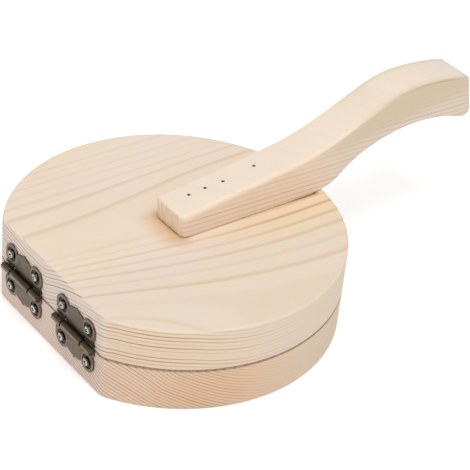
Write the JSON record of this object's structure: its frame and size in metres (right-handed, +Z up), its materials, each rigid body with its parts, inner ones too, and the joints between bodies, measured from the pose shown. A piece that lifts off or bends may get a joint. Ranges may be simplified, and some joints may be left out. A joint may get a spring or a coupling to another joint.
{
  "type": "dumpling wrapper press",
  "caption": "Round wooden press for flattening dough into dumpling wrappers: hinged boards with a straight back edge and a curved handle on the upper one.",
  "frame": {"origin": "centre of the round boards on the underside of the lower one", "axes": "+X along the handle, away from the hinges; +Z up; +Y towards the left hinge, as seen from behind the hinges"},
  "size_m": [0.1998, 0.13, 0.07],
  "materials": {
    "wood": "sanded, unvarnished pine",
    "hinge_bronze": "antique bronze, worn",
    "screw_steel": "nickel plated",
    "nail_steel": "dull, set below the wood"
  },
  "bodies": {
    "base": {"lower_board": "wood", "left_hinge_lower_leaf": "hinge_bronze", "left_hinge_pin": "hinge_bronze", "left_hinge_lower_screw_1": "screw_steel", "left_hinge_lower_screw_2": "screw_steel", "right_hinge_lower_leaf": "hinge_bronze", "right_hinge_pin": "hinge_bronze", "right_hinge_lower_screw_1": "screw_steel", "right_hinge_lower_screw_2": "screw_steel"},
    "lid": {"upper_board": "wood", "handle": "wood", "handle_nail_1": "nail_steel", "handle_nail_2": "nail_steel", "handle_nail_3": "nail_steel", "handle_nail_4": "nail_steel", "left_hinge_upper_leaf": "hinge_bronze", "left_hinge_upper_screw_1": "screw_steel", "left_hinge_upper_screw_2": "screw_steel", "right_hinge_upper_leaf": "hinge_bronze", "right_hinge_upper_screw_1": "screw_steel", "right_hinge_upper_screw_2": "screw_steel"}
  },
  "joints": [
    {"name": "lid_hinge", "type": "hinge", "parent": "base", "child": "lid", "pos_m": [-0.0565, 0, 0.01755], "axis": [0, -1, 0], "range_deg": [0, 167]}
  ]
}
